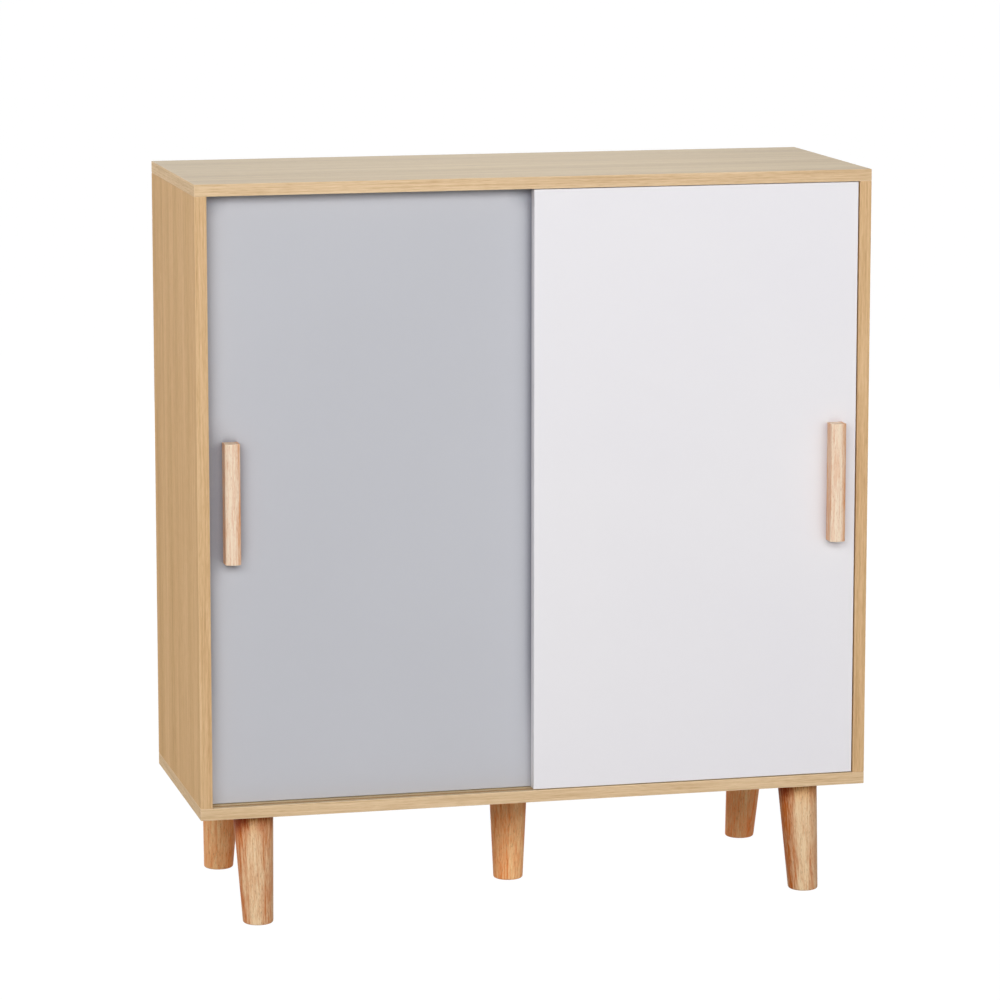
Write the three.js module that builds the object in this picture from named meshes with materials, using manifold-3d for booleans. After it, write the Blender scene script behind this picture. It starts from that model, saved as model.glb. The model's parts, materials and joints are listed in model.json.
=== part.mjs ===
// Sliding door cabinet on five turned legs. A grey door runs in the rear track and a white door in
// the front track, before two bays with an adjustable shelf each.
// Millimetres, +Z up, front towards -Y, left is -X. The origin is on the floor, at the middle foot.

import * as THREE from 'three';
import { RoundedBoxGeometry } from 'three/addons/geometries/RoundedBoxGeometry.js';
import { mergeVertices, toCreasedNormals } from 'three/addons/utils/BufferGeometryUtils.js';
import Module from 'manifold-3d';

const wasm = await Module();
wasm.setup();

// Carcase
const cabinetWidth = 800;
const cabinetDepth = 300;
const carcaseHeight = 734;
const boardThickness = 14;
const boardRounding = 0.6;

// Back panel, let into a groove all round
const backThickness = 3;
const backInset = 8;
const backGrooveDepth = 6;
const backClearance = 0.3;

// Legs, splayed forwards and backwards at the corners and upright in the middle
const legHeight = 128;
const legTopRadius = 23.7;
const legFootRadius = 17.8;
const legFootRounding = 2.4;
const legSplay = 28;
const legSideInset = 69;
const legEndInset = 46;

// Bolt that holds a leg: a wood screw below the joint, a machine thread above it
const boltRadius = 4;
const boltWoodLength = 32;
const boltMachineLength = 10.5;
const boltPointLength = 6;
const boltCoreRadius = 3.2;
const boltNeckLength = 2;
const boltClearance = 0.25;

// Doors
const doorThickness = 14;
const doorOverlap = 10.4;
const doorSetback = 2;
const doorFaceGap = 3;
const doorEndGap = 1.2;
const doorFloorGap = 0.8;
const doorHeadGap = 0.8;
const doorStopGap = 1;

// Track in the bottom board: a groove with a plastic channel in it
const trackGrooveWidth = 7;
const trackGrooveDepth = 6;
const trackWall = 1.2;
const trackClearance = 0.1;
const trackEndClearance = 0.3;

// Guide groove in the top board
const guideGrooveWidth = 6;
const guideGrooveDepth = 7;

// Roller in the bottom edge of a door
const rollerInset = 48;
const wheelRadius = 9;
const wheelThickness = 3.4;
const wheelChamfer = 0.5;
const wheelHubRadius = 3.6;
const wheelRimWidth = 2.2;
const wheelWebRecess = 0.6;
const wheelFloorClearance = 0.2;
const axleRadius = 1.5;
const axleClearance = 0.1;
const axleEmbedding = 1.5;
const housingLength = 40;
const housingWidth = 9.6;
const housingHeight = 20;
const housingClearance = 0.2;
const slotSideClearance = 0.4;
const slotEndClearance = 1.2;

// Sprung guide in the top edge of a door
const guideInset = 48;
const pinRadius = 2.5;
const pinReach = 5;
const pinCollarRadius = 3.45;
const pinCollarHeight = 2;
const pinTailRadius = 1.4;
const pinTailLength = 8;
const sleeveWall = 1.5;
const sleeveFloor = 1.5;
const sleeveLip = 2;
const sleeveClearance = 0.2;
const pinMouthClearance = 0.25;
const pinChamberClearance = 0.25;
const pinSeatClearance = 0.3;
const pinFloorClearance = 1;

// Handle: an upright bar with flat sides and a bowed front
const handleLength = 140;
const handleWidth = 18;
const handleSideDepth = 15;
const handleBow = 5;
const handleRounding = 0.7;
const handleInset = 26;

// Screw that holds a handle, driven from behind the door
const screwSpacing = 96;
const screwRadius = 2;
const screwHeadRadius = 4;
const screwHeadHeight = 2.2;
const screwHeadCrown = 0.8;
const screwBite = 12;
const screwClearance = 0.25;
const crossWidth = 1.1;
const crossShare = 0.62;
const crossDepth = 1.2;

// Divider and shelves
const dividerSetback = 38;
const shelfSetback = 43;
const shelfBackClearance = 2;
const shelfLevel = 346;

// Shelf pins and the rows of holes that they fit
const shelfPinRadius = 2.4;
const shelfPinHoleClearance = 0.2;
const shelfPinEndClearance = 0.3;
const shelfPinCollarRadius = 3.8;
const shelfPinCollarThickness = 1;
const shelfPinNoseLength = 7;
const shelfPinNoseChamfer = 0.8;
const shelfPinSeatClearance = 0.1;
const shelfEndClearance = 0.3;
const shelfHoleEdge = 37;
const shelfHolePitch = 32;
const shelfHoleRows = 5;

// Cams that draw the boards together
const camRadius = 7.5;
const camDepth = 10;
const camClearance = 0.2;
const camEdge = 24;
const camEndInset = 46;
const camCrossWidth = 1.8;

// How far a cutting shape runs past the face that it opens
const overrun = 2;

// Facets
const roundingSteps = 1;
const legFacets = 40;
const wheelFacets = 18;
const roundFacets = 16;
const smallFacets = 12;
const holeFacets = 10;
const arcFacets = 12;
const roundingFacets = 3;
const creaseAngle = Math.PI / 7;

// Places that follow from the sizes
const carcaseBottom = legHeight;
const carcaseTop = carcaseBottom + carcaseHeight;
const insideBottom = carcaseBottom + boardThickness;
const insideTop = carcaseTop - boardThickness;
const insideHeight = insideTop - insideBottom;
const insideHalfWidth = cabinetWidth / 2 - boardThickness;
const frontEdge = -cabinetDepth / 2;
const backEdge = cabinetDepth / 2;
const backPanelY = backEdge - backInset - backThickness / 2;
const backPanelFront = backPanelY - backThickness / 2;
const backReach = backGrooveDepth - backClearance;
const frontTrackY = frontEdge + doorSetback + doorThickness / 2;
const rearTrackY = frontTrackY + doorThickness + doorFaceGap;
const trackYs = [frontTrackY, rearTrackY];
const doorBottom = insideBottom + doorFloorGap;
const doorTop = insideTop - doorHeadGap;
const doorWidth = insideHalfWidth - doorEndGap + doorOverlap / 2;
const doorX = insideHalfWidth - doorEndGap - doorWidth / 2;
const wheelZ = insideBottom - trackGrooveDepth + trackWall + wheelFloorClearance + wheelRadius;
const chamberRadius = pinCollarRadius + pinChamberClearance;
const sleeveRadius = chamberRadius + sleeveWall;
const pinTravel = doorHeadGap + pinReach;
const pinStroke = pinTailLength + pinTravel + pinFloorClearance;
const sleeveLength = sleeveLip + pinSeatClearance + pinCollarHeight + pinStroke + sleeveFloor;
const handleX = doorX + doorWidth / 2 - handleInset;
const handleZ = carcaseBottom + carcaseHeight / 2;
const dividerFront = frontEdge + dividerSetback;
const shelfFront = frontEdge + shelfSetback;
const shelfBack = backPanelFront - shelfBackClearance;
const shelfDepth = shelfBack - shelfFront;
const bayWidth = insideHalfWidth - boardThickness / 2;
const bayX = (insideHalfWidth + boardThickness / 2) / 2;
const shelfWidth = bayWidth - 2 * (shelfPinCollarThickness + shelfEndClearance);
const shelfPinZ = insideBottom + shelfLevel;
const shelfBottom = shelfPinZ + shelfPinRadius + shelfPinSeatClearance;
const shelfPinShank = boardThickness / 2 - shelfPinEndClearance;
const shelfPinYs = [shelfFront + shelfHoleEdge, shelfBack - shelfHoleEdge];
const camYs = [frontEdge + camEndInset, backEdge - camEndInset];
const camZs = [insideBottom + camEdge, insideTop - camEdge];

// Both doors stop when the grey door's handle meets the white door's edge.
const doorTravel = doorX - doorWidth / 2 + handleX - handleWidth / 2 - doorStopGap;
console.log(`A door slides ${doorTravel.toFixed(2)} mm and a guide pin ${pinTravel.toFixed(2)} mm`);

const materials = {
  oak: { color: 0xd6b184, roughness: 0.55, metalness: 0 },
  hardboard: { color: 0xe4dccb, roughness: 0.7, metalness: 0 },
  grey: { color: 0xbfc0c6, roughness: 0.5, metalness: 0 },
  white: { color: 0xeceaec, roughness: 0.45, metalness: 0 },
  rubberwood: { color: 0xcf9f6f, roughness: 0.5, metalness: 0 },
  handleWood: { color: 0xe8cba6, roughness: 0.5, metalness: 0 },
  nylon: { color: 0xeeeeea, roughness: 0.4, metalness: 0 },
  track: { color: 0xb08d63, roughness: 0.5, metalness: 0 },
  zinc: { color: 0xb9bcc0, roughness: 0.35, metalness: 0.9 },
};

// A closed geometry as a solid that can be cut and joined: corners shared, flat triangles dropped.
function toSolid(geometry) {
  const bare = geometry.clone();
  bare.deleteAttribute('normal');
  bare.deleteAttribute('uv');
  const merged = mergeVertices(bare);
  const corners = [];
  for (let i = 0; i < merged.index.count; i += 3) {
    const [a, b, c] = [0, 1, 2].map((k) => merged.index.getX(i + k));
    if (a !== b && b !== c && c !== a) corners.push(a, b, c);
  }
  return new wasm.Manifold(new wasm.Mesh({
    numProp: 3,
    vertProperties: merged.attributes.position.array,
    triVerts: Uint32Array.from(corners),
  }));
}

function toGeometry(solid) {
  const { vertProperties, triVerts } = solid.getMesh();
  const geometry = new THREE.BufferGeometry();
  geometry.setAttribute('position', new THREE.BufferAttribute(vertProperties, 3));
  geometry.setIndex(new THREE.BufferAttribute(triVerts, 1));
  return toCreasedNormals(geometry, creaseAngle);
}

function cut(geometry, cutters) {
  let solid = toSolid(geometry);
  for (const cutter of cutters) solid = solid.subtract(toSolid(cutter));
  return toGeometry(solid);
}

function join(geometry, other) {
  return toGeometry(toSolid(geometry).add(toSolid(other)));
}

// A box from its middle and its lengths along X, Y and Z.
function block(middle, lengths) {
  return new THREE.BoxGeometry(...lengths).translate(...middle);
}

function board(middle, lengths) {
  return new RoundedBoxGeometry(...lengths, roundingSteps, boardRounding).translate(...middle);
}

// A round rod centred on a point, along X, Y or Z.
function rod(axis, middle, radius, length, facets) {
  const geometry = new THREE.CylinderGeometry(radius, radius, length, facets);
  if (axis === 'x') geometry.rotateZ(Math.PI / 2);
  if (axis === 'z') geometry.rotateX(Math.PI / 2);
  return geometry.translate(...middle);
}

// A turned piece from its profile of [radius, height] pairs, upright on Z.
function turned(profile, facets) {
  const points = profile.map(([radius, height]) => new THREE.Vector2(radius, height));
  return new THREE.LatheGeometry(points, facets).rotateX(Math.PI / 2);
}

// Points of a quarter circle of a profile, from one angle to another about its middle.
function quarter([radius, height], size, from, to) {
  const points = [];
  for (let step = 0; step <= roundingFacets; step += 1) {
    const angle = from + (to - from) * step / roundingFacets;
    points.push([radius + size * Math.cos(angle), height + size * Math.sin(angle)]);
  }
  return points;
}

// An outline with straight sides and round ends, raised from z = 0.
function obround(length, width, height) {
  const straight = (length - width) / 2;
  const outline = new THREE.Shape();
  outline.absarc(straight, 0, width / 2, -Math.PI / 2, Math.PI / 2);
  outline.absarc(-straight, 0, width / 2, Math.PI / 2, Math.PI * 3 / 2);
  return new THREE.ExtrudeGeometry(outline, {
    depth: height, bevelEnabled: false, curveSegments: arcFacets / 2,
  });
}

// Four slots of a cross, as two crossed blocks about a point on a face that looks along an axis.
function cross(axis, middle, radius, width, depth) {
  const long = 2 * radius * crossShare;
  const sizes = axis === 'x'
    ? [[2 * depth, long, width], [2 * depth, width, long]]
    : [[long, 2 * depth, width], [width, 2 * depth, long]];
  return sizes.map((lengths) => block(middle, lengths));
}

const cabinet = new THREE.Group();

function add(name, geometry, finish) {
  const mesh = new THREE.Mesh(geometry, new THREE.MeshStandardMaterial(materials[finish]));
  mesh.name = name;
  cabinet.add(mesh);
}

// Groove for the back panel, in the inner face of the top or the bottom board.
function backGroove(faceZ) {
  const lengths = [
    2 * (insideHalfWidth + backGrooveDepth),
    backThickness + 2 * backClearance,
    2 * backGrooveDepth,
  ];
  return block([0, backPanelY, faceZ], lengths);
}

function addTopBoard() {
  const middle = [0, 0, insideTop + boardThickness / 2];
  const cutters = trackYs.map((y) => block(
    [0, y, insideTop],
    [2 * insideHalfWidth, guideGrooveWidth, 2 * guideGrooveDepth],
  ));
  const lengths = [cabinetWidth, cabinetDepth, boardThickness];
  add('top_board', cut(board(middle, lengths), [...cutters, backGroove(insideTop)]), 'oak');
}

const legs = [
  { name: 'front_left', side: -1, row: -1 },
  { name: 'front_right', side: 1, row: -1 },
  { name: 'back_left', side: -1, row: 1 },
  { name: 'back_right', side: 1, row: 1 },
  { name: 'middle', side: 0, row: 0 },
];

// Where the axis of a leg meets the underside of the carcase.
function legJoint({ side, row }) {
  return [
    side * (cabinetWidth / 2 - legSideInset),
    row * (cabinetDepth / 2 - legEndInset),
    carcaseBottom,
  ];
}

// Turns a piece that stands on the joint of a leg to the leg's slope, and puts it there.
function slopedWithLeg(geometry, leg) {
  geometry.rotateX(leg.row * Math.atan(legSplay / legHeight));
  return geometry.translate(...legJoint(leg));
}

function boltBore(leg) {
  const length = 2 * (boltWoodLength + boltClearance);
  return slopedWithLeg(rod('z', [0, 0, 0], boltRadius + boltClearance, length, smallFacets), leg);
}

function boltHole(leg) {
  const length = 2 * (boltMachineLength + boltClearance);
  return slopedWithLeg(rod('z', [0, 0, 0], boltRadius + boltClearance, length, smallFacets), leg);
}

function addBottomBoard() {
  const middle = [0, 0, carcaseBottom + boardThickness / 2];
  const cutters = trackYs.map((y) => block(
    [0, y, insideBottom],
    [2 * insideHalfWidth, trackGrooveWidth, 2 * trackGrooveDepth],
  ));
  cutters.push(backGroove(insideBottom), ...legs.map(boltHole));
  add('bottom_board', cut(board(middle, [cabinetWidth, cabinetDepth, boardThickness]), cutters), 'oak');
}

// Rows of holes for the shelf pins, centred on the row in use.
function shelfPinHoles(x, depth) {
  const holes = [];
  const radius = shelfPinRadius + shelfPinHoleClearance;
  for (const y of shelfPinYs) {
    for (let row = 0; row < shelfHoleRows; row += 1) {
      const z = shelfPinZ + (row - (shelfHoleRows - 1) / 2) * shelfHolePitch;
      holes.push(rod('x', [x, y, z], radius, 2 * depth, holeFacets));
    }
  }
  return holes;
}

function camPlaces(side) {
  const places = [];
  camYs.forEach((y, row) => camZs.forEach((z, level) => places.push({
    name: `${['front', 'back'][row]}_${['bottom', 'top'][level]}`,
    middle: [side * insideHalfWidth, y, z],
  })));
  return places;
}

function addSide(name, side) {
  const face = side * insideHalfWidth;
  const panel = board(
    [face + side * boardThickness / 2, 0, (insideBottom + insideTop) / 2],
    [boardThickness, cabinetDepth, insideHeight],
  );
  const groove = block(
    [face, backPanelY, (insideBottom + insideTop) / 2],
    [2 * backGrooveDepth, backThickness + 2 * backClearance, insideHeight + 2 * overrun],
  );
  const bores = camPlaces(side).map(({ middle }) => rod(
    'x', middle, camRadius + camClearance, 2 * (camDepth + camClearance), roundFacets,
  ));
  const pinDepth = shelfPinShank + shelfPinEndClearance;
  add(name, cut(panel, [groove, ...bores, ...shelfPinHoles(face, pinDepth)]), 'oak');
}

function addCams(sideName, side) {
  for (const { name, middle } of camPlaces(side)) {
    const [face, y, z] = middle;
    const disc = rod('x', [face + side * camDepth / 2, y, z], camRadius, camDepth, roundFacets);
    const recess = cross('x', middle, camRadius, camCrossWidth, crossDepth);
    add(`${sideName}_cam_${name}`, cut(disc, recess), 'zinc');
  }
}

function addDivider() {
  const depth = backPanelFront - backClearance - dividerFront;
  const panel = board(
    [0, dividerFront + depth / 2, (insideBottom + insideTop) / 2],
    [boardThickness, depth, insideHeight],
  );
  add('centre_divider', cut(panel, shelfPinHoles(0, boardThickness / 2 + overrun)), 'oak');
}

function addBackPanel() {
  const middle = [0, backPanelY, (insideBottom + insideTop) / 2];
  const lengths = [
    2 * (insideHalfWidth + backReach),
    backThickness,
    insideHeight + 2 * backReach,
  ];
  add('back_panel', block(middle, lengths), 'hardboard');
}

// A pin stands on its collar's outer face at the origin, with its shank down and its nose up.
function shelfPin() {
  const noseTop = shelfPinCollarThickness + shelfPinNoseLength;
  return turned([
    [0, -shelfPinShank],
    [shelfPinRadius, -shelfPinShank],
    [shelfPinRadius, 0],
    [shelfPinCollarRadius, 0],
    [shelfPinCollarRadius, shelfPinCollarThickness],
    [shelfPinRadius, shelfPinCollarThickness],
    [shelfPinRadius, noseTop - shelfPinNoseChamfer],
    [shelfPinRadius - shelfPinNoseChamfer, noseTop],
    [0, noseTop],
  ], holeFacets);
}

function addShelf(name, side) {
  add(`${name}_shelf`, board(
    [side * bayX, shelfFront + shelfDepth / 2, shelfBottom + boardThickness / 2],
    [shelfWidth, shelfDepth, boardThickness],
  ), 'oak');
  const walls = [
    { wall: 'outer', x: side * insideHalfWidth, inward: -side },
    { wall: 'inner', x: side * boardThickness / 2, inward: side },
  ];
  for (const { wall, x, inward } of walls) {
    shelfPinYs.forEach((y, row) => {
      const pin = shelfPin().rotateY(inward * Math.PI / 2).translate(x, y, shelfPinZ);
      add(`${name}_shelf_pin_${['front', 'back'][row]}_${wall}`, pin, 'zinc');
    });
  }
}

// A round taper with a rounded foot, leaned so that its top and its foot stay level.
function addLeg(leg) {
  const profile = [
    [0, 0],
    ...quarter([legFootRadius - legFootRounding, legFootRounding], legFootRounding, -Math.PI / 2, 0),
    [legTopRadius, legHeight],
    [0, legHeight],
  ];
  const slope = leg.row * legSplay / legHeight;
  const stretch = Math.hypot(1, slope);
  const lean = new THREE.Matrix4().set(
    1, 0, 0, 0,
    0, stretch, -slope, slope * legHeight,
    0, 0, 1, 0,
    0, 0, 0, 1,
  );
  const [x, y] = legJoint(leg);
  const turnedLeg = turned(profile, legFacets).applyMatrix4(lean).translate(x, y, 0);
  add(`${leg.name}_leg`, cut(turnedLeg, [boltBore(leg)]), 'rubberwood');
}

function addLegBolt(leg) {
  const bolt = turned([
    [0, -boltWoodLength],
    [boltCoreRadius, boltPointLength - boltWoodLength],
    [boltCoreRadius, -boltNeckLength],
    [boltRadius, -boltNeckLength],
    [boltRadius, boltMachineLength],
    [0, boltMachineLength],
  ], smallFacets);
  add(`${leg.name}_leg_bolt`, slopedWithLeg(bolt, leg), 'zinc');
}

// A channel open at the top, along X, in the groove of the bottom board.
function addTrack(name, y) {
  const width = trackGrooveWidth - 2 * trackClearance;
  const length = 2 * (insideHalfWidth - trackEndClearance);
  const outer = block([0, y, insideBottom - trackGrooveDepth / 2], [length, width, trackGrooveDepth]);
  const channelDepth = trackGrooveDepth - trackWall;
  const channel = block(
    [0, y, insideBottom],
    [length + 2 * overrun, width - 2 * trackWall, 2 * channelDepth],
  );
  add(name, cut(outer, [channel]), 'track');
}

// Pocket for a roller housing, cut by a round bit into the bottom edge of a door.
function rollerPocket(x, y) {
  const pocket = obround(
    housingLength + 2 * housingClearance,
    housingWidth + 2 * housingClearance,
    housingHeight + housingClearance + overrun,
  );
  return pocket.translate(x, y, doorBottom - overrun);
}

function sleeveBore(x, y) {
  const length = 2 * (sleeveLength + sleeveClearance);
  return rod('z', [x, y, doorTop], sleeveRadius + sleeveClearance, length, roundFacets);
}

function screwHole(x, y, z) {
  const length = doorThickness + 2 * overrun;
  return rod('y', [x, y, z], screwRadius + screwClearance, length, smallFacets);
}

function addDoor({ name, side, y }) {
  const x = side * doorX;
  const panel = board(
    [x, y, (doorBottom + doorTop) / 2],
    [doorWidth, doorThickness, doorTop - doorBottom],
  );
  const cutters = [];
  for (const end of [-1, 1]) {
    cutters.push(rollerPocket(x + end * (doorWidth / 2 - rollerInset), y));
    cutters.push(sleeveBore(x + end * (doorWidth / 2 - guideInset), y));
    cutters.push(screwHole(side * handleX, y, handleZ + end * screwSpacing / 2));
  }
  add(`${name}_door`, cut(panel, cutters), name);
}

// The wheel stands on Y as its axle does, with a thinner web between hub and rim.
function wheel() {
  const half = wheelThickness / 2;
  const web = half - wheelWebRecess;
  const rimInside = wheelRadius - wheelRimWidth;
  const bore = axleRadius + axleClearance;
  const face = [
    [bore, half],
    [wheelHubRadius, half],
    [wheelHubRadius, web],
    [rimInside, web],
    [rimInside, half],
    [wheelRadius - wheelChamfer, half],
    [wheelRadius, half - wheelChamfer],
  ];
  const below = face.map(([radius, height]) => [radius, -height]);
  const profile = [...below, ...face.reverse(), below[0]];
  return turned(profile, wheelFacets).rotateX(Math.PI / 2);
}

// A housing with a slot for the wheel, and a stub axle across the slot.
function rollerHousing() {
  const wheelAbove = wheelZ - doorBottom;
  const slotTop = wheelAbove + wheelRadius + slotEndClearance;
  const slot = block([0, 0, 0], [
    2 * (wheelRadius + slotEndClearance),
    wheelThickness + 2 * slotSideClearance,
    2 * slotTop,
  ]);
  const axleLength = wheelThickness + 2 * (slotSideClearance + axleEmbedding);
  const axle = rod('y', [0, 0, wheelAbove], axleRadius, axleLength, smallFacets);
  return join(cut(obround(housingLength, housingWidth, housingHeight), [slot]), axle);
}

function addRollers({ name, side, y }) {
  for (const [end, endName] of [[-1, 'left'], [1, 'right']]) {
    const x = side * doorX + end * (doorWidth / 2 - rollerInset);
    const housing = rollerHousing().translate(x, y, doorBottom);
    add(`${name}_roller_housing_${endName}`, housing, 'nylon');
    add(`${name}_roller_wheel_${endName}`, wheel().translate(x, y, wheelZ), 'nylon');
  }
}

// A blind sleeve with its mouth at z = 0 and its chamber below.
function guideSleeve() {
  const mouth = pinRadius + pinMouthClearance;
  return turned([
    [0, -sleeveLength],
    [sleeveRadius, -sleeveLength],
    [sleeveRadius, 0],
    [mouth, 0],
    [mouth, -sleeveLip],
    [chamberRadius, -sleeveLip],
    [chamberRadius, sleeveFloor - sleeveLength],
    [0, sleeveFloor - sleeveLength],
  ], roundFacets);
}

// The pin's collar hangs below the lip of the sleeve, and its round head reaches into the groove.
function guidePin() {
  const collarTop = -sleeveLip - pinSeatClearance;
  const collarBottom = collarTop - pinCollarHeight;
  return turned([
    [0, collarBottom - pinTailLength],
    [pinTailRadius, collarBottom - pinTailLength],
    [pinTailRadius, collarBottom],
    [pinCollarRadius, collarBottom],
    [pinCollarRadius, collarTop],
    [pinRadius, collarTop],
    ...quarter([0, pinTravel - pinRadius], pinRadius, 0, Math.PI / 2),
  ], roundFacets);
}

function addGuides({ name, side, y }) {
  for (const [end, endName] of [[-1, 'left'], [1, 'right']]) {
    const x = side * doorX + end * (doorWidth / 2 - guideInset);
    add(`${name}_guide_sleeve_${endName}`, guideSleeve().translate(x, y, doorTop), 'nylon');
    add(`${name}_guide_pin_${endName}`, guidePin().translate(x, y, doorTop), 'nylon');
  }
}

// The section of a handle in plan, with its flat back on y = 0 and its bow towards -Y.
function handleOutline() {
  const half = handleWidth / 2;
  const bowRadius = (half * half + handleBow * handleBow) / (2 * handleBow);
  const bowMiddle = -(handleSideDepth + handleBow - bowRadius);
  const swing = Math.asin(half / bowRadius);
  const outline = new THREE.Shape();
  outline.moveTo(half, 0);
  outline.lineTo(-half, 0);
  outline.absarc(0, bowMiddle, bowRadius, -Math.PI / 2 - swing, -Math.PI / 2 + swing);
  outline.closePath();
  return outline;
}

function addHandle({ name, side, y }) {
  const bar = new THREE.ExtrudeGeometry(handleOutline(), {
    depth: handleLength - 2 * handleRounding,
    bevelThickness: handleRounding,
    bevelSize: handleRounding,
    bevelOffset: -handleRounding,
    bevelSegments: 1,
    curveSegments: arcFacets,
  });
  const face = y - doorThickness / 2;
  const x = side * handleX;
  bar.translate(x, face, handleZ - handleLength / 2 + handleRounding);
  const bores = [-1, 1].map((end) => rod(
    'y', [x, face, handleZ + end * screwSpacing / 2],
    screwRadius + screwClearance, 2 * (screwBite + screwClearance), smallFacets,
  ));
  add(`${name}_door_handle`, cut(bar, bores), 'handleWood');
}

// A screw along -Y, with the underside of its head at the origin.
function handleScrew() {
  const shank = turned([
    [0, -screwHeadHeight],
    [screwHeadRadius - screwHeadCrown, -screwHeadHeight],
    [screwHeadRadius, screwHeadCrown - screwHeadHeight],
    [screwHeadRadius, 0],
    [screwRadius, 0],
    [screwRadius, doorThickness + screwBite],
    [0, doorThickness + screwBite],
  ], smallFacets).rotateX(Math.PI / 2);
  return cut(shank, cross('y', [0, screwHeadHeight, 0], screwHeadRadius, crossWidth, crossDepth));
}

function addHandleScrews({ name, side, y }) {
  for (const [end, endName] of [[-1, 'lower'], [1, 'upper']]) {
    const z = handleZ + end * screwSpacing / 2;
    const screw = handleScrew().translate(side * handleX, y + doorThickness / 2, z);
    add(`${name}_handle_screw_${endName}`, screw, 'zinc');
  }
}

const doors = [
  { name: 'grey', side: -1, y: rearTrackY },
  { name: 'white', side: 1, y: frontTrackY },
];

addTopBoard();
addBottomBoard();
addSide('left_side', -1);
addSide('right_side', 1);
addDivider();
addBackPanel();
addCams('left', -1);
addCams('right', 1);
addShelf('left', -1);
addShelf('right', 1);
for (const leg of legs) {
  addLeg(leg);
  addLegBolt(leg);
}
addTrack('front_track', frontTrackY);
addTrack('rear_track', rearTrackY);
for (const door of doors) {
  addDoor(door);
  addRollers(door);
  addGuides(door);
  addHandle(door);
  addHandleScrews(door);
}

export default cabinet;
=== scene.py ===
# Looks of the sliding door cabinet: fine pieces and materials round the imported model, floor, lights, camera.
# Metres, +Z up, front towards -Y. Texture sizes are given per metre.
import json
import math

import bmesh
import bpy
from mathutils import Euler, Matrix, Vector


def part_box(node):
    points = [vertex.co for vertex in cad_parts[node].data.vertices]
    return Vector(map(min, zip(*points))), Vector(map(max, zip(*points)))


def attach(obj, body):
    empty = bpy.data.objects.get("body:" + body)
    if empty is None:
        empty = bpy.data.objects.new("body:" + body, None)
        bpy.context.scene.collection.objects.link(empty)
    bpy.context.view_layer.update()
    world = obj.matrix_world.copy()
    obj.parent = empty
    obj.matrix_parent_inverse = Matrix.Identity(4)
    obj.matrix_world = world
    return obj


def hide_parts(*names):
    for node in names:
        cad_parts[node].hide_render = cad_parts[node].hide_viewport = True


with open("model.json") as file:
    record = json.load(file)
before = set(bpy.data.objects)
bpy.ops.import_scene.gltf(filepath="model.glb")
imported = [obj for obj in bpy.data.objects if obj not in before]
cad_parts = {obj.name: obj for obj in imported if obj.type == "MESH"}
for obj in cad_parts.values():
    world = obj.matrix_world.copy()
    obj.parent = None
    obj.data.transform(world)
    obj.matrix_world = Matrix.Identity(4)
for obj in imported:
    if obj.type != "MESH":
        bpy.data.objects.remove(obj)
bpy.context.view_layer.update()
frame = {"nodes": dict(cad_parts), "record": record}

# Camera
IMAGE_SIZE = 1000
CAMERA_PLACE = (-1.2203, -4.9811, 1.3373)
CAMERA_YAW = math.radians(13.659)
CAMERA_PITCH = math.radians(9.039)
FOCAL_PIXELS = 4364.7
CENTRE_ROW = 450.5
SENSOR_WIDTH = 36.0

# Floor and light
FLOOR_SIZE = 60.0
FLOOR_COLOUR = 0.5
FLOOR_SHADOW_SHARE = 0.08
FLOOR_GLOW = 1.08
AMBIENT = 0.03
# Soft boxes: the place of the middle, width and height, and watts
LAMPS = {
    "front": ((-1.0, -4.6, 2.6), (7.0, 2.0), 235.0),
    "front_right": ((2.8, -3.4, 0.9), (2.2, 1.3), 25.0),
    "left": ((-3.9, 0.6, 1.3), (2.2, 2.2), 57.0),
    "top": ((0.1, -0.1, 1.6), (0.6, 0.6), 1.5),
    "back": ((0.2, 3.0, 2.6), (2.4, 2.4), 7.0),
    "rear": ((0.4, 4.0, 0.42), (3.0, 0.7), 44.0),
}
LAMP_TARGET = Vector((0.0, 0.0, 0.45))

# Legs
LEG_FOOT_RADIUS = 0.0178
LEG_SPLAY = 0.028
LEG_FOOT_ROUNDING = 0.0024
LEG_TOP_ROUNDING = 0.0004
LEG_BORE_RADIUS = 0.00425
LEG_BORE_DEPTH = 0.0323
LEG_FACETS = 96

# Pale wood, red wood and pores. The sets of the middle and back legs are a redder wood, and brighter than the
# front legs' set as painted light, for the light that reaches them less under the cabinet
FRONT_LEG_COLOURS = ((233, 204, 164), (190, 104, 42), (122, 64, 30))
INNER_LEG_COLOURS_WITH_PAINTED_LIGHT = ((252, 212, 158), (230, 134, 68), (140, 78, 38))
REDDER_LEG_COLOURS_WITH_PAINTED_LIGHT = ((254, 210, 154), (248, 138, 68), (150, 80, 38))
# Each leg's row, -1 for the front and 1 for the back, its colours, and its (place, redness) layers, whose pale
# stretches are partly the wood and partly a painted highlight
LEGS = {
    "front_left": (
        -1, FRONT_LEG_COLOURS,
        ((0.06, 0.9), (0.18, 0.65), (0.32, 0.15), (0.5, 0.2), (0.62, 0.6), (0.9, 0.45)),
    ),
    "front_right": (
        -1, FRONT_LEG_COLOURS,
        ((0.08, 0.9), (0.23, 0.55), (0.4, 0.1), (0.62, 0.15), (0.7, 0.5), (0.88, 0.35)),
    ),
    "middle": (
        0, INNER_LEG_COLOURS_WITH_PAINTED_LIGHT,
        ((0.08, 0.72), (0.2, 0.58), (0.45, 0.68), (0.52, 0.38), (0.7, 0.42), (0.9, 0.68)),
    ),
    "back_left": (1, INNER_LEG_COLOURS_WITH_PAINTED_LIGHT, ((0.1, 0.6), (0.3, 0.4), (0.5, 0.5), (0.7, 0.85))),
    "back_right": (1, REDDER_LEG_COLOURS_WITH_PAINTED_LIGHT, ((0.15, 0.7), (0.35, 0.5), (0.5, 0.35), (0.66, 0.65), (0.85, 0.7))),
}
# Heights between which the painted corner shade fades in
LEG_SHADE_LEVELS = (0.07, 0.11)
LEG_DRIFT = 0.12
LEG_SEED_STEP = 0.31

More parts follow.
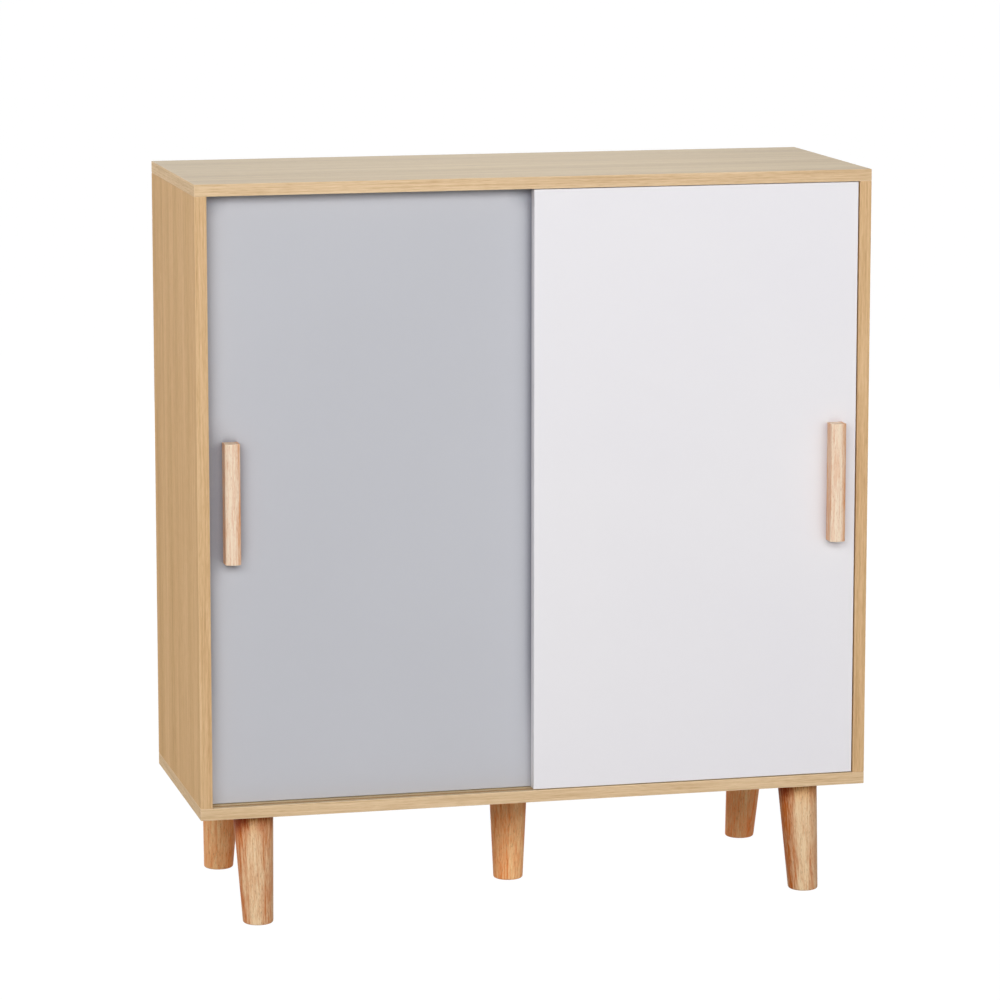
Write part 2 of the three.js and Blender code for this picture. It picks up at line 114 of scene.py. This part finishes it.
# Handles
HANDLE_COLOURS = ((243, 222, 197), (216, 142, 86), (184, 112, 68))
# Redness across a handle: its redder sides and the right of its front are partly the wood and partly painted
# shade, where the bar turns from the light
HANDLE_LAYERS = ((0.0, 0.55), (0.04, 0.12), (0.7, 0.12), (0.84, 0.55), (0.97, 0.65))
HANDLE_DRIFT = 0.04
HANDLE_SEED = 0.11
HANDLE_SEED_STEP = 0.23
HANDLE_SIDE_DEPTH = 0.0165
HANDLE_ARRIS = 0.0004
HANDLE_FACETS = 24

# Small round hardware
ROUND_SLOTS = ("zinc", "nylon")

# Oak decor: dark, middle and pale strips, and a tint of the board's broad faces against its edges
FLAT_OAK_COLOURS = ((190, 154, 109), (214, 183, 142), (230, 201, 163))
FLAT_OAK_TINT = (0.97, 1.02, 0.95)
FLAT_OAK_GLOSS = 0.5
FLAT_OAK_ROUGHNESS = 0.4
UPRIGHT_OAK_COLOURS = ((190, 150, 103), (214, 177, 132), (229, 195, 153))
UPRIGHT_OAK_TINT = (0.99, 0.95, 0.86)
UPRIGHT_OAK_ROUGHNESS = 0.7
UPRIGHT_BOARDS = {"left_side", "right_side", "centre_divider"}

# Other finishes, each in a colour and its shade
GREY_LACQUER = ((194, 195, 201), (192, 193, 199))
WHITE_LACQUER = ((235, 233, 236), (233, 231, 235))
NYLON = ((238, 238, 234), (230, 230, 225))
NYLON_ROUGHNESS = 0.4
TRACK_PLASTIC = ((176, 141, 99), (168, 133, 92))
TRACK_ROUGHNESS = 0.45
ZINC = ((186, 189, 194), (165, 168, 176))
HARDBOARD_COLOURS = ((218, 208, 190), (228, 219, 203), (235, 227, 212))

# Grain, along and across, and the scale of even textures
OAK_BANDS = (1.0, 34.0)
OAK_STREAKS = (7.0, 420.0)
OAK_FIBRES = (60.0, 1500.0)
OAK_PORES = (90.0, 1500.0)
RUBBERWOOD_WANDER = (9.0, 55.0)
RUBBERWOOD_STREAKS = (18.0, 480.0)
RUBBERWOOD_FIBRES = (90.0, 1500.0)
RUBBERWOOD_PORES = (170.0, 2000.0)
HARDBOARD_STREAKS = (8.0, 480.0)
HARDBOARD_SPECKS = 700.0
LACQUER_CLOUDS = 3.0
LACQUER_PEEL = 420.0
PLASTIC_GRAIN = 900.0
PLASTIC_CLOUDS = 60.0
ZINC_PATCHES = 350.0
ZINC_SCRATCHES = (200.0, 2400.0)

# Depths of the reliefs
STREAK_RELIEF = 0.0002
FIBRE_RELIEF = 0.0001
PEEL_RELIEF = 0.00004
MOULD_RELIEF = 0.00005
SCRATCH_RELIEF = 0.00003

WOOD_GLOSS = 0.1
LACQUER_GLOSS = 0.2

# Shade painted into corners and under edges: its reach, the openness at which it starts, and the one at which
# it is full
DOOR_PAINTED_SHADE = (0.03, 0.8, 0.5)
LEG_PAINTED_SHADE = (0.05, 0.9, 0.55)
PAINTED_SHADE_SAMPLES = 8
DOOR_SHADE_LEVELS = (0.16, 0.3)

# How squarely a face looks along an axis, at least, and an arris at most
FACE_LIMIT = 0.7
ARRIS_LIMIT = 0.975

# A noise's usual low and high
NOISE_SPREAD = (0.3, 0.7)

ROUNDING_STEPS = 6
SMOOTH_ANGLE = math.radians(28)
WELD_REACH = 0.000001


def linear(red, green, blue):
    """An sRGB colour of 0 to 255 as the linear RGBA that shaders take."""
    def channel(value):
        share = value / 255
        if share <= 0.04045:
            return share / 12.92
        return ((share + 0.055) / 1.055) ** 2.4
    return (channel(red), channel(green), channel(blue), 1.0)


class Surface:
    """A procedural material, built by linking nodes to its Principled shader."""

    def __init__(self, name, roughness=0.5, metallic=0.0):
        self.material = bpy.data.materials.new(name)
        self.material.use_nodes = True
        self.tree = self.material.node_tree
        self.shader = self.tree.nodes["Principled BSDF"]
        self.shader.inputs["Roughness"].default_value = roughness
        self.shader.inputs["Metallic"].default_value = metallic
        coordinates = self.node("ShaderNodeTexCoord")
        self.place = coordinates.outputs["Object"]
        self.facing = coordinates.outputs["Normal"]

    def node(self, kind, inputs=None, **settings):
        """Adds a node. Each input is a socket to link or a plain value."""
        node = self.tree.nodes.new(kind)
        for name, value in settings.items():
            setattr(node, name, value)
        for name, value in (inputs or {}).items():
            self.feed(node.inputs[name], value)
        return node

    def feed(self, socket, value):
        if isinstance(value, bpy.types.NodeSocket):
            self.tree.links.new(value, socket)
        else:
            socket.default_value = value

    def mapped(self, scale, turn=(0.0, 0.0, 0.0), shift=(0.0, 0.0, 0.0)):
        """The object's own place, turned, then stretched."""
        turned = self.node("ShaderNodeMapping", {
            "Vector": self.place, "Rotation": turn, "Location": shift,
        }).outputs["Vector"]
        return self.node("ShaderNodeMapping", {
            "Vector": turned, "Scale": scale,
        }).outputs["Vector"]

    def even(self, scale):
        """The object's own place, stretched alike all ways."""
        return self.mapped((scale, scale, scale))

    def on_ends(self, axis):
        """1 on faces that look along an axis, and 0 on the others."""
        facing = self.node("ShaderNodeSeparateXYZ", {"Vector": self.facing}).outputs[axis.upper()]
        size = self.node("ShaderNodeMath", {0: facing}, operation="ABSOLUTE").outputs[0]
        return self.node("ShaderNodeMath", {0: size, 1: FACE_LIMIT}, operation="GREATER_THAN").outputs[0]

    def on_arrises(self):
        """1 on the rounded arrises of a board whose faces are square to the axes, and 0 on its faces."""
        parts = self.node("ShaderNodeSeparateXYZ", {"Vector": self.facing}).outputs
        sizes = [self.node("ShaderNodeMath", {0: part}, operation="ABSOLUTE").outputs[0] for part in parts]
        largest = sizes[0]
        for size in sizes[1:]:
            largest = self.node("ShaderNodeMath", {0: largest, 1: size}, operation="MAXIMUM").outputs[0]
        return self.node("ShaderNodeMath", {0: largest, 1: ARRIS_LIMIT}, operation="LESS_THAN").outputs[0]

    def mixed_vector(self, share, first, second):
        node = self.node("ShaderNodeMix", data_type="VECTOR")
        self.feed(node.inputs[0], share)
        self.feed(node.inputs[4], first)
        self.feed(node.inputs[5], second)
        return node.outputs[1]

    def noise(self, vector, scale=1.0, detail=3.0, roughness=0.5, distortion=0.0):
        return self.node("ShaderNodeTexNoise", {
            "Vector": vector, "Scale": scale, "Detail": detail,
            "Roughness": roughness, "Distortion": distortion,
        }).outputs["Fac"]

    def ranged(self, value, low, high, to_low=0.0, to_high=1.0):
        return self.node("ShaderNodeMapRange", {
            "Value": value, "From Min": low, "From Max": high,
            "To Min": to_low, "To Max": to_high,
        }).outputs["Result"]

    def spread(self, noise, to_low=0.0, to_high=1.0):
        """A noise's usual values, stretched over a range."""
        return self.ranged(noise, *NOISE_SPREAD, to_low, to_high)

    def sum(self, first, second):
        return self.node("ShaderNodeMath", {0: first, 1: second}, operation="ADD").outputs[0]

    def product(self, first, second):
        return self.node("ShaderNodeMath", {0: first, 1: second}, operation="MULTIPLY").outputs[0]

    def ramp(self, value, stops):
        """Colours along a value, from (place, colour) stops."""
        node = self.node("ShaderNodeValToRGB", {"Fac": value})
        elements = node.color_ramp.elements
        while len(elements) < len(stops):
            elements.new(1.0)
        for element, (place, colour) in zip(elements, stops):
            element.position = place
            element.color = colour
        return node.outputs["Color"]

    def mixed(self, share, first, second, blend="MIX"):
        node = self.node("ShaderNodeMix", data_type="RGBA", blend_type=blend)
        self.feed(node.inputs[0], share)
        self.feed(node.inputs[6], first)
        self.feed(node.inputs[7], second)
        return node.outputs[2]

    def painted_corner_shade(self, colour, reach, opened, closed, share):
        """Paints shade into a colour in corners and under edges, from one openness within reach to another."""
        openness = self.node(
            "ShaderNodeAmbientOcclusion", {"Distance": reach}, samples=PAINTED_SHADE_SAMPLES,
        ).outputs["AO"]
        depth = self.product(self.ranged(openness, opened, closed), share)
        return self.mixed(depth, colour, self.mixed(1.0, colour, colour, blend="MULTIPLY"))

    def bumped(self, height, strength, distance):
        """Adds a relief to the shader, on top of any that it has."""
        node = self.node("ShaderNodeBump", {
            "Height": height, "Strength": strength, "Distance": distance,
        })
        socket = self.shader.inputs["Normal"]
        if socket.is_linked:
            self.tree.links.new(socket.links[0].from_socket, node.inputs["Normal"])
        self.tree.links.new(node.outputs["Normal"], socket)

    def finish(self, colour, roughness=None):
        self.feed(self.shader.inputs["Base Color"], colour)
        if roughness is not None:
            self.feed(self.shader.inputs["Roughness"], roughness)
        return self.material


def along(axis, length, across):
    """The scale of a grain that runs along X, Y or Z."""
    return tuple(length if name == axis else across for name in "xyz")


def oak(name, axis, colours, face_axis, face_tint, roughness, gloss, end_axis=None):
    """Satin oak decor with a fine straight grain, which on the board's ends runs along the edge.

    The board's broad faces are tinted a little against its edges.
    """
    surface = Surface(name, roughness=roughness)
    surface.shader.inputs["Specular IOR Level"].default_value = gloss
    ends = 0.0 if end_axis is None else surface.on_ends(axis)

    def grain(scales, shift=(0.0, 0.0, 0.0)):
        straight = surface.mapped(along(axis, *scales), shift=shift)
        if end_axis is None:
            return straight
        turned = surface.mapped(along(end_axis, *scales), shift=shift)
        return surface.mixed_vector(ends, straight, turned)

    bands = surface.noise(grain(OAK_BANDS), detail=2.0, distortion=0.3)
    streaks = surface.noise(grain(OAK_STREAKS), detail=3.0, roughness=0.6)
    fibres = surface.noise(grain(OAK_FIBRES, (0.5, 0.2, 0.1)), detail=2.0, roughness=0.6)
    tone = surface.sum(
        surface.product(bands, 0.25),
        surface.sum(surface.product(streaks, 0.42), surface.product(fibres, 0.33)),
    )
    dark, middle, pale = (linear(*colour) for colour in colours)
    colour = surface.ramp(tone, [(0.38, dark), (0.5, middle), (0.62, pale)])
    pores = surface.noise(grain(OAK_PORES, (0.3, 0.2, 0.1)), detail=1.0)
    colour = surface.mixed(surface.ranged(pores, 0.6, 0.74, 0.0, 0.4), colour, dark)
    colour = surface.mixed(surface.on_ends(face_axis), colour, (*face_tint, 1.0), blend="MULTIPLY")
    # Painted highlight: the rounded arrises are lightened towards the pale tone, where light would catch them
    colour = surface.mixed(surface.product(surface.on_arrises(), 0.6), colour, pale)
    surface.bumped(streaks, 0.15, STREAK_RELIEF)
    surface.bumped(fibres, 0.2, FIBRE_RELIEF)
    sheen = surface.spread(streaks, roughness - 0.05, roughness + 0.05)
    return surface.finish(colour, surface.sum(sheen, surface.product(ends, 0.4)))


def lacquer(name, colour, shade):
    """Satin lacquer on a smooth board, with a faint orange peel.

    Corners get painted shade, which fades out towards the foot, as the foot takes light from the board below.
    """
    surface = Surface(name, roughness=0.4)
    surface.shader.inputs["Specular IOR Level"].default_value = LACQUER_GLOSS
    clouds = surface.noise(surface.even(LACQUER_CLOUDS), detail=2.0)
    peel = surface.noise(surface.even(LACQUER_PEEL), detail=2.0)
    surface.bumped(peel, 0.05, PEEL_RELIEF)
    mixed = surface.mixed(surface.ranged(clouds, 0.35, 0.65), linear(*colour), linear(*shade))
    height = surface.node("ShaderNodeSeparateXYZ", {"Vector": surface.place}).outputs["Z"]
    # Painted shade in the door's corners and under the top board, fading out towards its foot
    mixed = surface.painted_corner_shade(mixed, *DOOR_PAINTED_SHADE, surface.ranged(height, *DOOR_SHADE_LEVELS))
    return surface.finish(mixed, surface.spread(peel, 0.36, 0.46))


def rubberwood(name, colours, layers, middle, half, drift, lean=0.0, seed=0.0, shade_levels=None):
    """Lacquered wood whose upright layers turn from pale to red across X, with short dark pores.

    The layers are (place, redness) pairs, with places from 0 to 1 across the piece, and wander
    by the drift. Their redness is partly the wood's figure and partly painted light: a painted
    highlight on a leg's pale stretch, and painted shade on a handle's redder sides. With shade
    levels, corners get painted shade above the second level, and less and less down to the first.
    """
    surface = Surface(name, roughness=0.5)
    surface.shader.inputs["Specular IOR Level"].default_value = WOOD_GLOSS
    pale, red, dark = (linear(*colour) for colour in colours)

    def grain(scales):
        return surface.mapped(along("z", *scales), (-lean, 0.0, 0.0), (seed, seed / 2, 0.0))

    wander = surface.noise(grain(RUBBERWOOD_WANDER), detail=2.0, distortion=0.6)
    streaks = surface.noise(grain(RUBBERWOOD_STREAKS), detail=3.0, roughness=0.6, distortion=0.5)
    fibres = surface.noise(grain(RUBBERWOOD_FIBRES), detail=2.0)
    places = surface.node("ShaderNodeSeparateXYZ", {"Vector": surface.place}).outputs
    across = surface.sum(
        surface.ranged(places["X"], middle - half, middle + half),
        surface.spread(wander, -drift, drift),
    )
    # Redness across the piece, partly the wood and partly painted light: a highlight on the legs, and shade on
    # the handles' sides
    redness_and_painted_light = surface.ramp(across, [(share, (level, level, level, 1.0)) for share, level in layers])
    fine = surface.sum(surface.product(streaks, 0.65), surface.product(fibres, 0.35))
    share = surface.sum(redness_and_painted_light, surface.ranged(fine, 0.4, 0.6, 0.32, -0.32))
    clamped = surface.node("ShaderNodeClamp", {"Value": share}).outputs[0]
    colour = surface.mixed(clamped, pale, red)
    pores = surface.noise(grain(RUBBERWOOD_PORES), detail=1.0)
    colour = surface.mixed(surface.ranged(pores, 0.6, 0.72, 0.0, 0.5), colour, dark)
    if shade_levels is not None:
        # Painted shade in the corners at the top of a leg, under the cabinet
        colour = surface.painted_corner_shade(colour, *LEG_PAINTED_SHADE, surface.ranged(places["Z"], *shade_levels))
    surface.bumped(streaks, 0.2, STREAK_RELIEF)
    surface.bumped(pores, -0.25, FIBRE_RELIEF)
    return surface.finish(colour, surface.spread(streaks, 0.45, 0.58))


def plastic(name, colour, shade, roughness):
    """Moulded plastic with a fine eroded texture."""
    surface = Surface(name, roughness=roughness)
    grain = surface.noise(surface.even(PLASTIC_GRAIN), detail=2.0)
    clouds = surface.noise(surface.even(PLASTIC_CLOUDS), detail=2.0)
    surface.bumped(grain, 0.15, MOULD_RELIEF)
    mixed = surface.mixed(surface.spread(clouds), linear(*colour), linear(*shade))
    return surface.finish(mixed, surface.spread(grain, roughness - 0.05, roughness + 0.07))


def zinc(name, colour, shade):
    """Bright zinc plating, a little dull and patchy."""
    surface = Surface(name, roughness=0.35, metallic=1.0)
    patches = surface.noise(surface.even(ZINC_PATCHES), detail=4.0)
    scratches = surface.noise(surface.mapped(along("x", *ZINC_SCRATCHES)), detail=2.0)
    surface.bumped(scratches, 0.1, SCRATCH_RELIEF)
    mixed = surface.mixed(surface.spread(patches), linear(*colour), linear(*shade))
    return surface.finish(mixed, surface.spread(patches, 0.25, 0.45))


def hardboard(name, colours):
    """Pale printed foil on hardboard, with a faint upright grain."""
    surface = Surface(name, roughness=0.6)
    streaks = surface.noise(surface.mapped(along("z", *HARDBOARD_STREAKS)), detail=3.0)
    specks = surface.noise(surface.even(HARDBOARD_SPECKS), detail=2.0)
    tone = surface.sum(surface.product(streaks, 0.7), surface.product(specks, 0.3))
    dark, middle, pale = (linear(*colour) for colour in colours)
    colour = surface.ramp(tone, [(0.35, dark), (0.5, middle), (0.65, pale)])
    surface.bumped(specks, 0.12, FIBRE_RELIEF)
    return surface.finish(colour, surface.spread(specks, 0.55, 0.7))


def dress(names, material):
    """Puts one material on carried-over nodes."""
    for name in names:
        data = frame["nodes"][name].data
        for index in range(len(data.materials)):
            data.materials[index] = material


def body_of(node):
    """The name of the body that a node belongs to."""
    groups = frame["record"]["behaviour"]["bodies"]
    return next(body for body, members in groups.items() if node in members)


def slot_of(node):
    """The material slot that the record gives a node."""
    return next(part["material_slot"] for part in frame["record"]["subparts"] if part["node"] == node)


def stand_for(piece, node, material):
    """Puts a finer piece in place of a node, on the node's body and with the given material."""
    piece.data.materials.append(material)
    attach(piece, body_of(node))
    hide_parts(node)


def new_piece(name, mesh_builder):
    """An object from a bmesh, smooth but for its sharp arrises."""
    mesh = bpy.data.meshes.new(name)
    bmesh.ops.recalc_face_normals(mesh_builder, faces=mesh_builder.faces)
    for face in mesh_builder.faces:
        face.smooth = True
    mesh_builder.to_mesh(mesh)
    mesh_builder.free()
    mesh.set_sharp_from_angle(angle=SMOOTH_ANGLE)
    piece = bpy.data.objects.new(name, mesh)
    bpy.context.scene.collection.objects.link(piece)
    return piece


def arc(centre, radius, start, end):
    """Points of an arc in a profile, from one angle to another."""
    points = []
    for step in range(ROUNDING_STEPS + 1):
        angle = start + (end - start) * step / ROUNDING_STEPS
        points.append((centre[0] + radius * math.cos(angle), centre[1] + radius * math.sin(angle)))
    return points


def turned_mesh(profile, facets):
    """A closed turned body from (radius, height) pairs that start and end on the axis."""
    builder = bmesh.new()
    rings = []
    for radius, height in profile:
        if radius == 0:
            rings.append([builder.verts.new((0, 0, height))])
            continue
        ring = []
        for step in range(facets):
            angle = math.tau * step / facets
            ring.append(builder.verts.new((radius * math.cos(angle), radius * math.sin(angle), height)))
        rings.append(ring)
    for lower, upper in zip(rings, rings[1:]):
        for step in range(facets):
            following = (step + 1) % facets
            corners = []
            for ring, index in ((lower, step), (lower, following), (upper, following), (upper, step)):
                vertex = ring[index % len(ring)]
                if vertex not in corners:
                    corners.append(vertex)
            builder.faces.new(corners)
    return builder


def make_leg(node, row, material):
    """A leg with a rounded foot, leaned so that its top and its foot stay level."""
    low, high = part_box(node)
    height = high.z - low.z
    top_radius = (high.x - low.x) / 2
    middle_x = (high.x + low.x) / 2
    slope = row * LEG_SPLAY / height
    stretch = math.hypot(1, slope)
    top_y = 0.0
    if row < 0:
        top_y = high.y - top_radius * stretch
    if row > 0:
        top_y = low.y + top_radius * stretch
    foot = (LEG_FOOT_RADIUS - LEG_FOOT_ROUNDING, LEG_FOOT_ROUNDING)
    head = (top_radius - LEG_TOP_ROUNDING, height - LEG_TOP_ROUNDING)
    profile = [(0, 0)]
    profile += arc(foot, LEG_FOOT_ROUNDING, -math.pi / 2, 0)
    profile += arc(head, LEG_TOP_ROUNDING, 0, math.pi / 2)
    profile += [(LEG_BORE_RADIUS, height), (LEG_BORE_RADIUS, height - LEG_BORE_DEPTH)]
    profile += [(0, height - LEG_BORE_DEPTH)]
    builder = turned_mesh(profile, LEG_FACETS)
    for vertex in builder.verts:
        x, y, z = vertex.co
        vertex.co = (middle_x + x, top_y + y * stretch + slope * (height - z), z)
    stand_for(new_piece(f"{node}_turned", builder), node, material)


def make_handle(node, material):
    """A bar with flat sides and a bowed front, with soft arrises."""
    low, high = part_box(node)
    half = (high.x - low.x) / 2
    depth = high.y - low.y
    bow = depth - HANDLE_SIDE_DEPTH
    radius = (half * half + bow * bow) / (2 * bow)
    swing = math.asin(half / radius)
    middle = Vector(((low.x + high.x) / 2, low.y + radius, low.z))
    outline = [(high.x, high.y), (low.x, high.y)]
    for step in range(HANDLE_FACETS + 1):
        angle = -math.pi / 2 - swing + 2 * swing * step / HANDLE_FACETS
        outline.append((middle.x + radius * math.cos(angle), middle.y + radius * math.sin(angle)))
    builder = bmesh.new()
    base = builder.faces.new([builder.verts.new((x, y, low.z)) for x, y in outline])
    raised = bmesh.ops.extrude_face_region(builder, geom=[base])
    lifted = [item for item in raised["geom"] if isinstance(item, bmesh.types.BMVert)]
    bmesh.ops.translate(builder, verts=lifted, vec=(0, 0, high.z - low.z))
    piece = new_piece(f"{node}_bar", builder)
    bevel = piece.modifiers.new("arrises", "BEVEL")
    bevel.width = HANDLE_ARRIS
    bevel.segments = 3
    bevel.limit_method = "ANGLE"
    bevel.angle_limit = SMOOTH_ANGLE
    stand_for(piece, node, material)


def smooth_copy(node, material):
    """A welded copy of a small round node, smooth but for its sharp arrises."""
    builder = bmesh.new()
    builder.from_mesh(frame["nodes"][node].data)
    builder.transform(frame["nodes"][node].matrix_world)
    bmesh.ops.remove_doubles(builder, verts=builder.verts, dist=WELD_REACH)
    stand_for(new_piece(f"{node}_smooth", builder), node, material)


def make_camera():
    data = bpy.data.cameras.new("camera")
    data.sensor_width = SENSOR_WIDTH
    data.lens = FOCAL_PIXELS / IMAGE_SIZE * SENSOR_WIDTH
    data.shift_y = (CENTRE_ROW - IMAGE_SIZE / 2) / IMAGE_SIZE
    camera = bpy.data.objects.new("camera", data)
    camera.location = CAMERA_PLACE
    camera.rotation_euler = Euler((math.pi / 2 - CAMERA_PITCH, 0.0, -CAMERA_YAW))
    bpy.context.scene.collection.objects.link(camera)
    bpy.context.scene.camera = camera


def seen_directly(tree):
    """1 for what the camera sees straight, or in a gloss, and 0 for what only lights."""
    path = tree.nodes.new("ShaderNodeLightPath")
    either = tree.nodes.new("ShaderNodeMath")
    either.operation = "MAXIMUM"
    tree.links.new(path.outputs["Is Camera Ray"], either.inputs[0])
    tree.links.new(path.outputs["Is Glossy Ray"], either.inputs[1])
    any_of = tree.nodes.new("ShaderNodeMath")
    any_of.operation = "MAXIMUM"
    tree.links.new(either.outputs[0], any_of.inputs[0])
    tree.links.new(path.outputs["Is Transmission Ray"], any_of.inputs[1])
    return any_of.outputs[0]


def make_world():
    world = bpy.data.worlds.new("studio")
    bpy.context.scene.world = world
    world.use_nodes = True
    tree = world.node_tree
    background = tree.nodes["Background"]
    background.inputs["Color"].default_value = (1.0, 1.0, 1.0, 1.0)
    strength = tree.nodes.new("ShaderNodeMapRange")
    tree.links.new(seen_directly(tree), strength.inputs["Value"])
    strength.inputs["To Min"].default_value = AMBIENT
    tree.links.new(strength.outputs["Result"], background.inputs["Strength"])


def make_floor():
    """A pale floor that the camera sees white, with the object's shadow kept faint."""
    mesh = bpy.data.meshes.new("floor")
    half = FLOOR_SIZE / 2
    corners = [(-half, -half, 0), (half, -half, 0), (half, half, 0), (-half, half, 0)]
    mesh.from_pydata(corners, [], [(0, 1, 2, 3)])
    floor = bpy.data.objects.new("floor", mesh)
    bpy.context.scene.collection.objects.link(floor)
    surface = Surface("floor", roughness=0.8)
    surface.finish((FLOOR_COLOUR, FLOOR_COLOUR, FLOOR_COLOUR, 1.0))
    tree = surface.tree
    white = tree.nodes.new("ShaderNodeEmission")
    white.inputs["Strength"].default_value = FLOOR_GLOW
    blend = tree.nodes.new("ShaderNodeMixShader")
    share = tree.nodes.new("ShaderNodeMapRange")
    share.inputs["To Max"].default_value = 1 - FLOOR_SHADOW_SHARE
    tree.links.new(seen_directly(tree), share.inputs["Value"])
    tree.links.new(share.outputs["Result"], blend.inputs["Fac"])
    tree.links.new(surface.shader.outputs["BSDF"], blend.inputs[1])
    tree.links.new(white.outputs["Emission"], blend.inputs[2])
    tree.links.new(blend.outputs["Shader"], tree.nodes["Material Output"].inputs["Surface"])
    mesh.materials.append(surface.material)


def make_lamps():
    for name, (place, size, power) in LAMPS.items():
        data = bpy.data.lights.new(name, "AREA")
        data.shape = "RECTANGLE"
        data.size, data.size_y = size
        data.energy = power
        light = bpy.data.objects.new(name, data)
        light.location = place
        towards = LAMP_TARGET - light.location
        light.rotation_euler = towards.to_track_quat("-Z", "Y").to_euler()
        bpy.context.scene.collection.objects.link(light)


def dress_nodes():
    nodes = frame["nodes"]
    slots = {name: slot_of(name) for name in nodes}
    flat_oak = oak(
        "oak_along_x", "x", FLAT_OAK_COLOURS, "z", FLAT_OAK_TINT,
        FLAT_OAK_ROUGHNESS, FLAT_OAK_GLOSS, end_axis="y",
    )
    upright_oak = oak(
        "oak_along_z", "z", UPRIGHT_OAK_COLOURS, "x", UPRIGHT_OAK_TINT,
        UPRIGHT_OAK_ROUGHNESS, WOOD_GLOSS,
    )
    dress([name for name in nodes if slots[name] == "oak" and name not in UPRIGHT_BOARDS], flat_oak)
    dress(UPRIGHT_BOARDS, upright_oak)
    dress(["grey_door"], lacquer("grey_lacquer", *GREY_LACQUER))
    dress(["white_door"], lacquer("white_lacquer", *WHITE_LACQUER))
    finishes = {
        "hardboard": hardboard("hardboard", HARDBOARD_COLOURS),
        "zinc": zinc("zinc", *ZINC),
        "nylon": plastic("nylon", *NYLON, NYLON_ROUGHNESS),
        "track_plastic": plastic("track_plastic", *TRACK_PLASTIC, TRACK_ROUGHNESS),
    }
    for slot, material in finishes.items():
        members = [name for name in nodes if slots[name] == slot]
        if slot in ROUND_SLOTS:
            for name in members:
                smooth_copy(name, material)
        else:
            dress(members, material)


def make_wooden_pieces():
    for count, (name, (row, colours, layers)) in enumerate(LEGS.items()):
        low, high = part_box(f"{name}_leg")
        lean = row * math.atan2(LEG_SPLAY, high.z)
        wood = rubberwood(
            f"{name}_leg_wood", colours, layers, (low.x + high.x) / 2, (high.x - low.x) / 2,
            LEG_DRIFT, lean, LEG_SEED_STEP * count, LEG_SHADE_LEVELS,
        )
        make_leg(f"{name}_leg", row, wood)
    for count, name in enumerate(("grey", "white")):
        low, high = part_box(f"{name}_door_handle")
        wood = rubberwood(
            f"{name}_handle_wood", HANDLE_COLOURS, HANDLE_LAYERS, (low.x + high.x) / 2, (high.x - low.x) / 2,
            HANDLE_DRIFT, seed=HANDLE_SEED_STEP * count + HANDLE_SEED,
        )
        make_handle(f"{name}_door_handle", wood)


make_camera()
make_world()
make_floor()
make_lamps()
dress_nodes()
make_wooden_pieces()
bpy.context.scene.view_settings.view_transform = "Standard"
